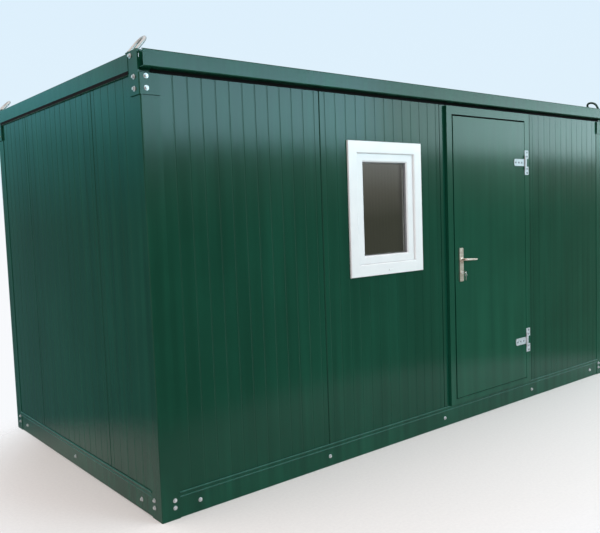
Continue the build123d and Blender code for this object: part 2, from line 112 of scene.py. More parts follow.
def ramp(tree, tone, stops):
    """Colours a tone between 0 and 1 by stops of place and colour."""
    made = add_node(tree, "ShaderNodeValToRGB", {"Fac": tone})
    elements = made.color_ramp.elements
    while len(elements) < len(stops):
        elements.new(1.0)
    for element, (position, colour) in zip(elements, stops):
        element.position = position
        element.color = (*colour, 1.0)
    return made.outputs["Color"]


def span(tree, tone, low, high, start=0.0, end=1.0, **options):
    """Spreads a tone that runs from start to end over a new range, such as a roughness."""
    limits = {"Value": tone, "From Min": start, "From Max": end, "To Min": low, "To Max": high}
    return add_node(tree, "ShaderNodeMapRange", limits, **options).outputs["Result"]


def relief(tree, shader, heights):
    """Bump from heights in metres; each entry is a tone and the depth that it stands for."""
    normal = None
    for tone, depth in heights:
        inputs = {"Height": tone, "Distance": depth, "Strength": 1.0}
        if normal is not None:
            inputs["Normal"] = normal
        normal = add_node(tree, "ShaderNodeBump", inputs).outputs["Normal"]
    link(tree, normal, shader, "Normal")


print("pattern helpers:", noise.__name__, ramp.__name__, span.__name__, relief.__name__)

# %% [markdown]
# The green paints.
# Wall panels are rolled from sheet that is painted in the mill, so the paint is even and glossy, but the
# sheet itself is never quite flat: it ripples upright between the rolled grooves, and the foam behind pulls
# it in by fractions of a millimetre. Those ripples draw reflections out into upright streaks. They are a
# noise stretched along Z, used as bump; a faint film of dust in the same direction varies the gloss. The
# thicker steel of the frame and the door takes the same paint with weaker ripples, and on rolled edges it is
# painted paler as a painted highlight, so one function mixes all four.

# %% Green paints
ORANGE_PEEL = 0.00006


def green_paint(name, dark, light, roughness, ripple, shine):
    """Glossy green paint: slow tone changes, upright streaks in the gloss, ripples and orange peel."""
    material, tree, shader, place = new_finish(name, Specular_IOR_Level=shine)
    cloud = noise(tree, place, 1.3, 4.0)
    streak = noise(tree, place, 5.0, 3.0, stretch=(3.0, 3.0, 0.12))
    both = calc(tree, "MULTIPLY", cloud, streak)
    link(tree, ramp(tree, both, [(0.15, dark), (0.40, light)]), shader, "Base Color")
    link(tree, span(tree, streak, roughness * 0.75, roughness * 1.3), shader, "Roughness")
    waves = noise(tree, place, 4.0, 2.0, stretch=(3.4, 3.4, 0.3))
    peel = noise(tree, place, 420.0, 1.0)
    relief(tree, shader, [(waves, ripple), (peel, ORANGE_PEEL)])
    return material


PANEL_DARK = (0.0038, 0.044, 0.0260)
PANEL_LIGHT = (0.0058, 0.060, 0.0360)
DOOR_DARK = (0.0048, 0.056, 0.0330)
DOOR_LIGHT = (0.0074, 0.074, 0.0440)
# The rolled edges' colours are paler than the frame's paint: a painted highlight along the rolled edges.
EDGE_HIGHLIGHT_DARK = (0.009, 0.074, 0.052)
EDGE_HIGHLIGHT_LIGHT = (0.017, 0.100, 0.074)
panel_coat = green_paint("panel_coil_coat", PANEL_DARK, PANEL_LIGHT, 0.12, 0.0011, 0.16)
door_coat = green_paint("door_enamel", DOOR_DARK, DOOR_LIGHT, 0.12, 0.0007, 0.17)
frame_coat = green_paint("frame_enamel", PANEL_DARK, DOOR_LIGHT, 0.16, 0.0006, 0.16)
edge_highlight_coat = green_paint("edge_highlight_enamel", EDGE_HIGHLIGHT_DARK, EDGE_HIGHLIGHT_LIGHT, 0.20, 0.0003, 0.25)
print("green paints:", panel_coat.name, door_coat.name, frame_coat.name, edge_highlight_coat.name)

# %% [markdown]
# Zinc and nickel.
# Hot-dip zinc sets in flat crystals, called spangle, that catch the light each at its own angle: a Voronoi
# pattern gives every cell one tone, and that tone sets both colour and roughness. Hinges that stand in the
# weather are duller than bolts that are tightened with a spanner. Brushed nickel has fine scratches along
# one direction, which is a noise stretched hard along the lever's length; the keys and the lock barrel are
# plated paler than the worn plates. A lifting hook rubs the paint off the lifting eyes, so there a noise
# lets bare steel through the green; the bare steel spreads towards the left end as a painted highlight, so
# the left eyes show paler.

# %% Metals
def spangled_zinc(name, dark, light, roughness):
    """Zinc in flat crystals; roughness is a pair of limits."""
    material, tree, shader, place = new_finish(name, Metallic=1.0)
    cells = add_node(tree, "ShaderNodeTexVoronoi", {"Vector": place, "Scale": 140.0}).outputs["Color"]
    tone = add_node(tree, "ShaderNodeSeparateColor", {"Color": cells}).outputs[0]
    link(tree, ramp(tree, tone, [(0.0, dark), (1.0, light)]), shader, "Base Color")
    link(tree, span(tree, tone, *roughness), shader, "Roughness")
    relief(tree, shader, [(noise(tree, place, 500.0), 0.00004)])
    return material


def worn_paint_with_highlight(name, paint, steel):
    """Paint rubbed through to bare steel in patches; more bare steel towards the left end is a painted
    highlight.
    """
    material, tree, shader, place = new_finish(name)
    # Bare steel spreads towards the left end: a painted highlight that makes the left eyes paler and leaves
    # the right ones dark.
    left_end_highlight = span(tree, axis(tree, place, "X"), 0.25, -0.30, -1.5, 1.5)
    worn = calc(tree, "ADD", noise(tree, place, 70.0, 3.0), left_end_highlight)
    whole = 0.30
    rubbed = 0.62
    bare = ramp(tree, worn, [(whole, (0.0, 0.0, 0.0)), (rubbed, (0.9, 0.9, 0.9))])
    link(tree, ramp(tree, worn, [(whole, paint), (rubbed, steel)]), shader, "Base Color")
    link(tree, bare, shader, "Metallic")
    link(tree, span(tree, worn, 0.3, 0.6), shader, "Roughness")
    relief(tree, shader, [(bare, -0.0002)])
    return material


def brushed_metal(name, dark, light, stretch):
    """Metal with fine scratches that run along the axis of the smallest stretch."""
    material, tree, shader, place = new_finish(name, Metallic=1.0)
    brush = noise(tree, place, 300.0, 4.0, stretch=stretch)
    link(tree, ramp(tree, brush, [(0.3, dark), (0.7, light)]), shader, "Base Color")
    link(tree, span(tree, brush, 0.22, 0.42), shader, "Roughness")
    relief(tree, shader, [(brush, 0.00002)])
    return material


zinc = spangled_zinc("weathered_zinc", (0.44, 0.46, 0.48), (0.62, 0.64, 0.66), (0.56, 0.72))
bolt_zinc = spangled_zinc("bright_zinc", (0.48, 0.50, 0.52), (0.70, 0.72, 0.73), (0.34, 0.50))
dull_zinc = spangled_zinc("dull_zinc", (0.16, 0.17, 0.18), (0.28, 0.29, 0.30), (0.45, 0.60))
# The lifting eyes' paint: wear in patches, with a painted highlight that pales the left ones.
eye_steel = worn_paint_with_highlight("worn_eye_paint_with_highlight", (0.012, 0.050, 0.034), (0.50, 0.52, 0.52))
nickel = brushed_metal("brushed_nickel", (0.55, 0.47, 0.41), (0.76, 0.67, 0.60), (0.06, 1.0, 1.0))
plated = brushed_metal("plated_key", (0.68, 0.67, 0.64), (0.90, 0.89, 0.86), (1.0, 1.0, 0.1))
print("metals:", zinc.name, bolt_zinc.name, dull_zinc.name, eye_steel.name, nickel.name, plated.name)

# %% [markdown]
# White window plastic, glass and rubber.
# Extruded window plastic is smooth and a little waxy, so it gets a thin coat and only the faintest
# tone. The glass is real transmission with a trace of green, as plain window glass has. Rubber and
# putty are matt, so one function with a soft mottle and hardly any shine makes all of them.

# %% Window finishes and seals
def window_plastic(name):
    """White extruded plastic."""
    material, tree, shader, place = new_finish(name, Specular_IOR_Level=0.5, Coat_Weight=0.15)
    stops = [(0.3, (0.80, 0.81, 0.83)), (0.7, (0.86, 0.87, 0.88))]
    link(tree, ramp(tree, noise(tree, place, 6.0), stops), shader, "Base Color")
    link(tree, span(tree, noise(tree, place, 40.0), 0.24, 0.36), shader, "Roughness")
    relief(tree, shader, [(noise(tree, place, 600.0, 1.0), 0.00002)])
    return material


def clear_glass(name):
    """Window glass with a trace of green."""
    material, tree, shader, place = new_finish(name, Transmission_Weight=1.0, IOR=1.5, Roughness=0.0)
    stops = [(0.3, (0.88, 0.92, 0.89)), (0.7, (0.92, 0.95, 0.92))]
    link(tree, ramp(tree, noise(tree, place, 2.0), stops), shader, "Base Color")
    return material


def matt_finish(name, dark, light, roughness=(0.5, 0.75), shine=0.3):
    """Rubber, putty and plain coated plastic: a soft mottle and hardly any shine."""
    material, tree, shader, place = new_finish(name, Specular_IOR_Level=shine)
    link(tree, ramp(tree, noise(tree, place, 60.0), [(0.3, dark), (0.7, light)]), shader, "Base Color")
    link(tree, span(tree, noise(tree, place, 200.0), *roughness), shader, "Roughness")
    return material


plastic = window_plastic("window_plastic")
glass = clear_glass("clear_glass")
rubber = matt_finish("black_seal", (0.004, 0.004, 0.005), (0.010, 0.010, 0.011), (0.7, 0.9), 0.08)
grey_rubber = matt_finish("grey_seal", (0.26, 0.27, 0.29), (0.36, 0.37, 0.39))
spacer_grey = matt_finish("spacer_grey", (0.70, 0.71, 0.72), (0.82, 0.83, 0.84), (0.35, 0.5))
print("window finishes:", plastic.name, glass.name, rubber.name, grey_rubber.name, spacer_grey.name)

# %% [markdown]
# Liner sheet and plywood.
# The room is lined with the panels' inner sheet, which is rolled with fine lines and painted off-white:
# a sine along X and Y, used as bump, draws the lines on all four walls. The deck is birch plywood, with
# grain from a noise drawn out along X and a board joint every 2.5 m.

# %% Room finishes
LINE_SPACING = 0.05
HALF_BOARD = 1.25
BOARD_GAP = 0.0015


def liner_sheet(name):
    """Off-white painted sheet with fine rolled lines."""
    material, tree, shader, place = new_finish(name, Specular_IOR_Level=0.4)
    stops = [(0.3, (0.66, 0.67, 0.66)), (0.7, (0.74, 0.75, 0.73))]
    link(tree, ramp(tree, noise(tree, place, 1.5), stops), shader, "Base Color")
    streak = noise(tree, place, 5.0, stretch=(3.0, 3.0, 0.1))
    link(tree, span(tree, streak, 0.28, 0.42), shader, "Roughness")
    around = calc(tree, "ADD", axis(tree, place, "X"), axis(tree, place, "Y"))
    turns = calc(tree, "MULTIPLY", around, math.tau / LINE_SPACING)
    relief(tree, shader, [(calc(tree, "SINE", turns), 0.0004)])
    return material


def birch_ply(name):
    """Plywood boards with grain along X and dark joints."""
    material, tree, shader, place = new_finish(name, Specular_IOR_Level=0.3)
    grain = noise(tree, place, 6.0, 6.0, stretch=(0.35, 6.0, 1.0))
    along = calc(tree, "PINGPONG", axis(tree, place, "X"), HALF_BOARD)
    tone = calc(tree, "MULTIPLY", grain, calc(tree, "GREATER_THAN", along, BOARD_GAP))
    stops = [(0.0, (0.05, 0.03, 0.015)), (0.32, (0.30, 0.19, 0.10)), (0.68, (0.47, 0.33, 0.19))]
    link(tree, ramp(tree, tone, stops), shader, "Base Color")
    link(tree, span(tree, grain, 0.45, 0.7), shader, "Roughness")
    relief(tree, shader, [(tone, 0.0006)])
    return material


liner = liner_sheet("liner_sheet")
ply = birch_ply("birch_ply")
print("room finishes:", liner.name, ply.name)

# %% [markdown]
# Painting the frame's own pieces.
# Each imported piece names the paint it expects, called its slot. Swapping the material in that slot
# leaves its shape alone, which is all that a correct steel section needs.

# %% Paint by slot
finish_of_slot = {
    "panel_paint": panel_coat,
    "door_paint": door_coat,
    "frame_paint": frame_coat,
    "window_upvc": plastic,
    "window_glass": glass,
    "galvanised_steel": zinc,
    "handle_metal": nickel,
    "lock_nickel": plated,
    "floor_ply": ply,
}
for node in cad_nodes.values():
    for index, material in enumerate(node.data.materials):
        node.data.materials[index] = finish_of_slot[material.name.split(".")[0]]
print("painted nodes:", len(cad_nodes))

# %% [markdown]
# Helpers for pieces.
# A small form, such as a screw, is drawn at the origin along +Z in a mesh of its own, then turned,
# placed and added to a shape, so that thirty bolts are one piece. A turned form is a half outline
# spun once round Z. A finished piece sits at the origin with its place in its mesh, rides on one body,
# and shades smooth except at sharp edges; weighted normals keep its flat faces flat in reflections.

# %% Piece helpers
SHARP_EDGE = math.radians(38)


def new_object(name, shape, material):
    """Makes an object of a bmesh, with its place in its mesh, and links it to the scene."""
    mesh = bpy.data.meshes.new(name)
    shape.to_mesh(mesh)
    shape.free()
    mesh.materials.append(material)
    made = bpy.data.objects.new(name, mesh)
    scene.collection.objects.link(made)
    return made


def finish_piece(name, shape, material, body, replaces=()):
    """Makes a piece of a bmesh and sets it on its body."""
    piece = new_object(name, shape, material)
    piece.data.shade_smooth()
    piece.data.set_sharp_from_angle(angle=SHARP_EDGE)
    piece.modifiers.new("flat_faces", "WEIGHTED_NORMAL").keep_sharp = True
    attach(piece, body)
    if replaces:
        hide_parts(*replaces)
    print(name, "rides on", body, "with", len(piece.data.polygons), "faces")
    return piece


print("edges stay sharp from", round(math.degrees(SHARP_EDGE)), "degrees")

# %% Form helpers
UP = Vector((0, 0, 1))


def facing(outward, place):
    """The matrix that turns a form's +Z outwards and moves its origin to a place."""
    turn = UP.rotation_difference(Vector(outward)).to_matrix().to_4x4()
    return Matrix.Translation(Vector(place)) @ turn


def add_form(shape, form, matrix=Matrix()):
    """Turns and places a form that is drawn at the origin, and adds it to a shape."""
    bmesh.ops.transform(form, matrix=matrix, verts=form.verts)
    bmesh.ops.recalc_face_normals(form, faces=form.faces)
    copy = bpy.data.meshes.new("form")
    form.to_mesh(copy)
    form.free()
    shape.from_mesh(copy)
    bpy.data.meshes.remove(copy)


def turned_form(outline, steps=16):
    """Spins an outline of radius and height once round Z."""
    form = bmesh.new()
    verts = [form.verts.new((radius, 0, height)) for radius, height in outline]
    edges = [form.edges.new(pair) for pair in zip(verts, verts[1:])]
    bmesh.ops.spin(
        form, geom=verts + edges, cent=(0, 0, 0), axis=UP, angle=math.tau, steps=steps, use_merge=True
    )
    bmesh.ops.remove_doubles(form, verts=form.verts, dist=1e-6)
    return form


def break_edges(form, edges, width):
    """Rounds edges over by a small width."""
    bmesh.ops.bevel(
        form, geom=edges, offset=width, segments=2, profile=0.5, affect="EDGES", material=-1,
        clamp_overlap=True,
    )


def sheet(shape, low, high, edge=0.0):
    """A flat sheet or bar between two corners, with its edges broken."""
    form = bmesh.new()
    bmesh.ops.create_cube(form, size=1)
    low = Vector(low)
    high = Vector(high)
    bmesh.ops.scale(form, vec=high - low, verts=form.verts)
    if edge:
        break_edges(form, form.edges[:], edge)
    add_form(shape, form, Matrix.Translation((low + high) / 2))


print("form helpers:", turned_form.__name__, sheet.__name__)

# %% [markdown]
# Bolts.
# The frame is bolted together so that it can travel flat. Each bolt is a round washer and a hexagon
# head with a turned-down crown. The head is a six-sided cone of equal ends, and its top is inset and
# lifted for the crown; one function draws it, and a list of places sets it wherever the frame has a
# joint.

# %% Hexagon bolts
def hex_bolt(across):
    """A washer and a hexagon head along +Z, sized by the width across the head's flats."""
    thick = across * 0.14
    height = across * 0.5
    washer = [(across * 0.9, 0), (across * 0.9, thick * 0.7), (across * 0.84, thick), (0, thick)]
    form = turned_form(washer, 20)
    radius = across / math.sqrt(3)
    head = bmesh.ops.create_cone(
        form, cap_ends=True, segments=6, radius1=radius, radius2=radius, depth=height
    )["verts"]
    bmesh.ops.translate(form, vec=(0, 0, thick + height / 2), verts=head)
    top = max((f for f in form.faces if len(f.verts) == 6), key=lambda f: f.calc_center_median().z)
    bmesh.ops.inset_region(form, faces=[top], thickness=across * 0.07, depth=across * 0.06)
    return form


BASE_BOLT = 0.013
trial = hex_bolt(BASE_BOLT)
print("one bolt has", len(trial.faces), "faces")
trial.free()

# %% Base bolts
SIDES = (-1, 1)
CORNERS = [(x_side, y_side) for x_side in SIDES for y_side in SIDES]
RAIL_BOLT_HEIGHT = 0.062
RAIL_BOLT_INSET = 0.219
END_RAIL_BOLTS = (-0.925, 0.0, 0.925)
CORNER_BOLT_HEIGHTS = (RAIL_BOLT_HEIGHT, 0.101)
CORNER_BOLT_INSET = 0.077

wall_low, wall_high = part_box("front_panel_1")
rail_low, rail_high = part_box("base_rail_front")
end_rail_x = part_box("base_rail_right")[1].x
post_low, post_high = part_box("corner_post_front_left")
deck_low, deck_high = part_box("floor_deck")
end_x = -post_low.x
front_y = -post_low.y
bay = wall_high.x - wall_low.x + 2 * (wall_low.x - deck_low.x)
last_bolt = -rail_low.x - RAIL_BOLT_INSET

shape = bmesh.new()
for side in SIDES:
    for x in (-last_bolt, -bay, 0.0, bay, last_bolt):
        place = (x, side * -rail_low.y, RAIL_BOLT_HEIGHT)
        add_form(shape, hex_bolt(BASE_BOLT), facing((0, side, 0), place))
    for y in END_RAIL_BOLTS:
        place = (side * end_rail_x, y, RAIL_BOLT_HEIGHT)
        add_form(shape, hex_bolt(BASE_BOLT), facing((side, 0, 0), place))
for x_side, y_side in CORNERS:
    for z in CORNER_BOLT_HEIGHTS:
        on_front = (x_side * (end_x - CORNER_BOLT_INSET), y_side * front_y, z)
        on_end = (x_side * end_x, y_side * (front_y - CORNER_BOLT_INSET), z)
        add_form(shape, hex_bolt(BASE_BOLT), facing((0, y_side, 0), on_front))
        add_form(shape, hex_bolt(BASE_BOLT), facing((x_side, 0, 0), on_end))
finish_piece("base_bolts", shape, bolt_zinc, "cabin")

# %% Bracket bolts
bracket_low, bracket_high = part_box("corner_brackets")
BRACKET_BOLT = 0.015
POST_BOLT_RISES = (0.031, 0.089)
FRONT_BOLT_INSET = 0.031
END_BOLT_INSET = 0.045
BEAM_BOLT_DROP = 0.023
BEAM_BOLT_INSET = 0.0755

shape = bmesh.new()
for x_side, y_side in CORNERS:
    for rise in POST_BOLT_RISES:
        z = bracket_low.z + rise
        on_front = (x_side * (end_x - FRONT_BOLT_INSET), y_side * bracket_high.y, z)
        on_end = (x_side * bracket_high.x, y_side * (front_y - END_BOLT_INSET), z)
        add_form(shape, hex_bolt(BRACKET_BOLT), facing((0, y_side, 0), on_front))
        add_form(shape, hex_bolt(BRACKET_BOLT), facing((x_side, 0, 0), on_end))
    y = y_side * (front_y - BEAM_BOLT_INSET)
    on_beam = (x_side * bracket_high.x, y, bracket_high.z - BEAM_BOLT_DROP)
    add_form(shape, hex_bolt(BRACKET_BOLT), facing((x_side, 0, 0), on_beam))
finish_piece("bracket_bolts", shape, bolt_zinc, "cabin")

# %% Roof screws
roof_low, roof_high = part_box("roof_panels")
BAYS = 4
RIBS_PER_BAY = 4
ROOF_SCREW = 0.008
SCREW_ROWS = (-1.02, -0.34, 0.34, 1.02)

shape = bmesh.new()
for number in range(BAYS * RIBS_PER_BAY):
    x = -BAYS / 2 * bay + (number + 0.5) * bay / RIBS_PER_BAY
    for y in SCREW_ROWS:
        add_form(shape, hex_bolt(ROOF_SCREW), Matrix.Translation((x, y, roof_high.z)))
finish_piece("roof_screws", shape, bolt_zinc, "cabin")

# %% [markdown]
# The window.
# White window bars are extruded, cut at 45 degrees and welded at the corners. The same idea makes
# them here: one section is set at the four corners, slanted along the mitre, and each corner is
# bridged to the next. A small bevel breaks the long edges. Outer frame, sash, spacer and gasket share
# the function and differ only in their sections. The sash's level bars show slimmer than its uprights.

# %% Mitred bars
def front_outline(low, high, sides=0.0, ends=0.0):
    """A box's corners seen from the front, drawn in at its sides and at its head and foot."""
    return (low.x + sides, low.z + ends), (high.x - sides, high.z - ends)


def square_section(near, far, front, back):
    """A plain bar's section between two insets and two depths."""
    return [(near, front), (far, front), (far, back), (near, back)]


def mitred_ring(outline, section, edge, slim=0.0):
    """Four bars of one section of inset and depth along Y; level bars may be slimmer by a share."""
    (x0, z0), (x1, z1) = outline
    shape = bmesh.new()
    loops = []
    for x, z, right, up in ((x0, z0, 1, 1), (x1, z0, -1, 1), (x1, z1, -1, -1), (x0, z1, 1, -1)):
        rise = up * (1 - slim)
        verts = [shape.verts.new((x + right * inset, y, z + rise * inset)) for inset, y in section]
        loops.append([shape.edges.new((verts[i - 1], verts[i])) for i in range(len(verts))])
    mitres = {e for loop in loops for e in loop}
    for number in range(4):
        bmesh.ops.bridge_loops(shape, edges=loops[number - 1] + loops[number])
    bmesh.ops.recalc_face_normals(shape, faces=shape.faces)
    break_edges(shape, [e for e in shape.edges if e not in mitres], edge)
    return shape


print("bar helpers:", square_section.__name__, mitred_ring.__name__)

# %% Window frame bars
frame_low, frame_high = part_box("window_frame")
sash_low, sash_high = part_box("window_sash")
pane_low, pane_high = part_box("window_glass")
frame_face = sash_low.x - frame_low.x
FRAME_LAP = 0.020
SOFT_EDGE = 0.0012

section = [
    (0.0, frame_low.y + 0.003),
    (0.004, frame_low.y),
    (frame_face - 0.006, frame_low.y),
    (frame_face, frame_low.y + 0.005),
    (frame_face, frame_high.y),
    (FRAME_LAP, frame_high.y),
    (FRAME_LAP, wall_low.y),
    (0.0, wall_low.y),
]
frame_bars = mitred_ring(front_outline(frame_low, frame_high), section, SOFT_EDGE)
finish_piece("window_frame_bars", frame_bars, plastic, "cabin", ["window_frame"])

# %% Sash bars
SASH_GAP = 0.0005
PANE_GAP = 0.001
GLASS_GRIP = 0.016
SIGHT_TRIM = 0.0075
rebate = pane_low.x - sash_low.x
sight = rebate + GLASS_GRIP
sash_slim = SIGHT_TRIM / sight

section = [
    (0.0, sash_low.y + 0.002),
    (0.003, sash_low.y),
    (sight - 0.009, sash_low.y),
    (sight, sash_low.y + 0.007),
    (sight, pane_low.y - PANE_GAP),
    (rebate, pane_low.y - PANE_GAP),
    (rebate, sash_high.y),
    (0.0, sash_high.y),
]
outline = front_outline(sash_low, sash_high, SASH_GAP, SASH_GAP)
sash_bars = mitred_ring(outline, section, SOFT_EDGE, sash_slim)
finish_piece("window_sash_bars", sash_bars, plastic, "cabin", ["window_sash"])

# %% [markdown]
# Glazing.
# The pane is a sealed unit: two sheets of glass held apart by a pale grey spacer bar. Making both
# sheets gives the double reflection that a single block of glass lacks. A grey wedge gasket presses on
# the outer sheet all round and lines the reveal. A small cap on the lower bar covers the slot that
# drains the frame.

# %% Sealed unit
GLASS_SHEET = 0.004
SPACER_OUTER = 0.008
SPACER_INNER = 0.0235
FINE_EDGE = 0.0006
pane_growth = rebate * sash_slim

shape = bmesh.new()
for y in (pane_low.y, pane_high.y - GLASS_SHEET):
    low = (pane_low.x, y, pane_low.z - pane_growth)
    high = (pane_high.x, y + GLASS_SHEET, pane_high.z + pane_growth)
    sheet(shape, low, high)
finish_piece("window_panes", shape, glass, "cabin", ["window_glass"])

outline = front_outline(pane_low, pane_high, 0.0, -SIGHT_TRIM)
section = square_section(SPACER_OUTER, SPACER_INNER, pane_low.y + GLASS_SHEET, pane_high.y - GLASS_SHEET)
finish_piece("window_spacer", mitred_ring(outline, section, FINE_EDGE), spacer_grey, "cabin")

# %% Gasket and drain cap
GASKET_EDGE = 0.0005
CAP_EDGE = 0.0015
CAP_HALF = Vector((0.016, 0, 0.005))
CAP_FRONT = Vector((0, 0.004, 0))
CAP_BACK = Vector((0, 0.001, 0))
CAP_X = -0.535
CAP_RISE = 0.028
cap_middle = Vector((CAP_X, frame_low.y, frame_low.z + CAP_RISE))

outline = front_outline(sash_low, sash_high, sight, sight - SIGHT_TRIM)
section = [
    (0.0, sash_low.y + 0.009),
    (0.0025, sash_low.y + 0.010),
    (0.0035, pane_low.y),
    (0.0, pane_low.y),
]
finish_piece("window_gasket", mitred_ring(outline, section, GASKET_EDGE), grey_rubber, "cabin")

shape = bmesh.new()
sheet(shape, cap_middle - CAP_HALF - CAP_FRONT, cap_middle + CAP_HALF + CAP_BACK, CAP_EDGE)
finish_piece("window_drain_cap", shape, plastic, "cabin")

# %% [markdown]
# Lifting eyes.
# A bent round bar is welded to each corner plate for the lifting hook. A ring of points is extruded up
# one leg, spun half a turn for the bow and extruded down the other leg; a cut flat to the plate takes
# off what would stick through it. The weld is a low cone round each foot, drawn out along the lean.

# %% Bent bar
EYE_RADIUS = 0.009
EYE_HALF = 0.041
EYE_LEG = 0.056
EYE_SINK = 0.002
EYE_STEPS = 16


def verts_of(geometry):
    return [g for g in geometry if isinstance(g, bmesh.types.BMVert)]


def edges_of(geometry):
    return [g for g in geometry if isinstance(g, bmesh.types.BMEdge)]


def lifting_eye(lean):
    """A bent bar whose feet stand on z = 0, leaning towards +X by an angle in degrees."""
    eye = bmesh.new()
    spare = 2 * EYE_RADIUS
    ring = bmesh.ops.create_circle(eye, cap_ends=False, radius=EYE_RADIUS, segments=18)["verts"]
    bmesh.ops.translate(eye, vec=(0, -EYE_HALF, -spare), verts=ring)
    leg = bmesh.ops.extrude_edge_only(eye, edges=eye.edges[:])["geom"]
    bmesh.ops.translate(eye, vec=(0, 0, EYE_LEG + spare), verts=verts_of(leg))
    rim = verts_of(leg) + edges_of(leg)
    bow = bmesh.ops.spin(
        eye, geom=rim, cent=(0, 0, EYE_LEG), axis=(1, 0, 0), angle=-math.pi, steps=EYE_STEPS, use_merge=False
    )["geom_last"]
    down = bmesh.ops.extrude_edge_only(eye, edges=edges_of(bow))["geom"]
    bmesh.ops.translate(eye, vec=(0, 0, -EYE_LEG - spare), verts=verts_of(down))
    tilt = Matrix.Rotation(math.radians(lean), 3, "Y")
    bmesh.ops.rotate(eye, cent=(0, 0, 0), matrix=tilt, verts=eye.verts)
    whole = eye.verts[:] + eye.edges[:] + eye.faces[:]
    bmesh.ops.bisect_plane(eye, geom=whole, plane_co=(0, 0, -EYE_SINK), plane_no=UP, clear_inner=True)
    bmesh.ops.holes_fill(eye, edges=[e for e in eye.edges if e.is_boundary])
    return eye


print("an eye's bar is", 2 * EYE_RADIUS, "m thick and its bow", 2 * EYE_HALF, "m wide")

# %% Eyes and welds
eye_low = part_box("lifting_eyes")[0]
EYE_LEANS = {(-1, -1): 41, (1, -1): 50, (-1, 1): 45, (1, 1): 47}
EYE_INSET_X = 0.004
EYE_INSET_Y = 0.068
WELD_OUTLINE = [(EYE_RADIUS * 1.35, 0), (EYE_RADIUS * 1.2, 0.003), (EYE_RADIUS * 0.9, 0.005)]
WELD_SHIFT = 0.002
WELD_STRETCH = Matrix.Diagonal((1.15, 1, 1, 1))
eye_foot = Vector((EYE_INSET_X - end_x, EYE_INSET_Y - front_y, eye_low.z))

shape = bmesh.new()
welds = bmesh.new()
for x_side, y_side in CORNERS:
    corner = Matrix.Diagonal((-x_side, -y_side, 1, 1)) @ Matrix.Translation(eye_foot)
    add_form(shape, lifting_eye(EYE_LEANS[x_side, y_side]), corner)
    for y in (-EYE_HALF, EYE_HALF):
        foot = corner @ Matrix.Translation((WELD_SHIFT, y, 0)) @ WELD_STRETCH
        add_form(welds, turned_form(WELD_OUTLINE), foot)
finish_piece("lifting_eye_bars", shape, eye_steel, "cabin", ["lifting_eyes"])
finish_piece("eye_welds", welds, frame_coat, "cabin")

# %% [markdown]
# Seals.
# A black foam strip closes the slot between the wall panels and the gutter; its black is also painted shade,
# the dark line under the fascia. On the end beams a flat black strip at the same height is painted shade
# only, a dark line under the beams. The door shuts against a rubber strip on its frame's stop. The strip is
# kept clear of the leaf, because a moving piece may not rub in the model.

# %% Foam strip and shade strips
beam_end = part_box("roof_end_beam_right")[1]
FASCIA_DROP = 0.020
FOAM_REACH = 2.19
FOAM_FRONT = 0.0008
FOAM_BACK = 0.0085
FOAM_EDGE = 0.001
THIN_EDGE = 0.0004
FOAM_CLEAR = 0.0005
STRIP_PROUD = 0.0008
STRIP_SUNK = 0.0006
STRIP_RISE = 0.0012
STRIP_DROP = 0.001
fascia_foot = post_high.z + FASCIA_DROP
foam_foot = post_high.z + FOAM_CLEAR
foam_head = fascia_foot - FOAM_CLEAR
strip_y = beam_end.y - FOAM_CLEAR
strip_foot = post_high.z + STRIP_RISE
strip_head = fascia_foot - STRIP_DROP


def between(side, first, second):
    """Two distances from the middle as low and high on one side of it."""
    return sorted((side * first, side * second))


# Both black strips are painted shade: the foam seal's black also draws the dark line under the fascia.
shape = bmesh.new()
for side in SIDES:
    y0, y1 = between(side, -wall_low.y - FOAM_FRONT, -wall_low.y - FOAM_BACK)
    sheet(shape, (-FOAM_REACH, y0, foam_foot), (FOAM_REACH, y1, foam_head), FOAM_EDGE)
    # The end-beam strip is painted shade only, a black line under each end beam.
    x0, x1 = between(side, beam_end.x + STRIP_PROUD, beam_end.x - STRIP_SUNK)
    sheet(shape, (x0, -strip_y, strip_foot), (x1, strip_y, strip_head), THIN_EDGE)
finish_piece("eaves_seal_and_shade_strips", shape, rubber, "cabin")

# %% Door seal
leaf_low, leaf_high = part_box("door_leaf")
SEAL_THICK = 0.003
SEAL_WIDTH = 0.018
SEAL_REACH = 0.010
STOP_GAP = 0.006
stop_face = leaf_high.y + STOP_GAP

outline = front_outline(leaf_low, leaf_high, -SEAL_REACH, -SEAL_REACH)
section = square_section(0.0, SEAL_WIDTH, stop_face - SEAL_THICK, stop_face)
finish_piece("door_seal", mitred_ring(outline, section, FINE_EDGE), rubber, "cabin")

# %% [markdown]
# Rolled edges and closing strips.
# Thin steel is stiffened by rolling its edge over. The base rail and the strip above it both end in a
# half-round edge, which catches light from above; its paint is paler than the frame's, a painted highlight,
# and together they draw two fine light lines along the foot of the wall. One point is spun half a turn for
# the section, which is filled and extruded along the edge. A folded flashing closes the roof's ribs behind
# the gutter. On the hinge side and the sill the door's gap is narrowed by a painted strip, out of the way of
# the leaf, which swings clear of both.

# %% Rolled edges
ROLL = 0.0048
JAMB_GAP = 0.001


def rolled_edge(shape, start, end, outward):
    """A half round along a level line, standing out from a wall."""
    form = bmesh.new()
    start = Vector(start)
    foot = form.verts.new(start - ROLL * UP)
    turn = Vector(outward).cross(UP)
    bmesh.ops.spin(form, geom=[foot], cent=start, axis=turn, angle=math.pi, steps=8, use_merge=False)
    grown = bmesh.ops.extrude_face_region(form, geom=[form.faces.new(form.verts[:])])["geom"]
    bmesh.ops.translate(form, vec=Vector(end) - start, verts=verts_of(grown))
    add_form(shape, form)


strip_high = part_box("panel_foot_strips")[1]
jamb_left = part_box("door_jamb_left")[0].x
jamb_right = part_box("door_jamb_right")[1].x
post_x = -post_high.x
post_y = -post_high.y
rail_runs = [(-post_x, post_x)]
strip_runs = [(-post_x, jamb_left - JAMB_GAP), (jamb_right + JAMB_GAP, post_x)]

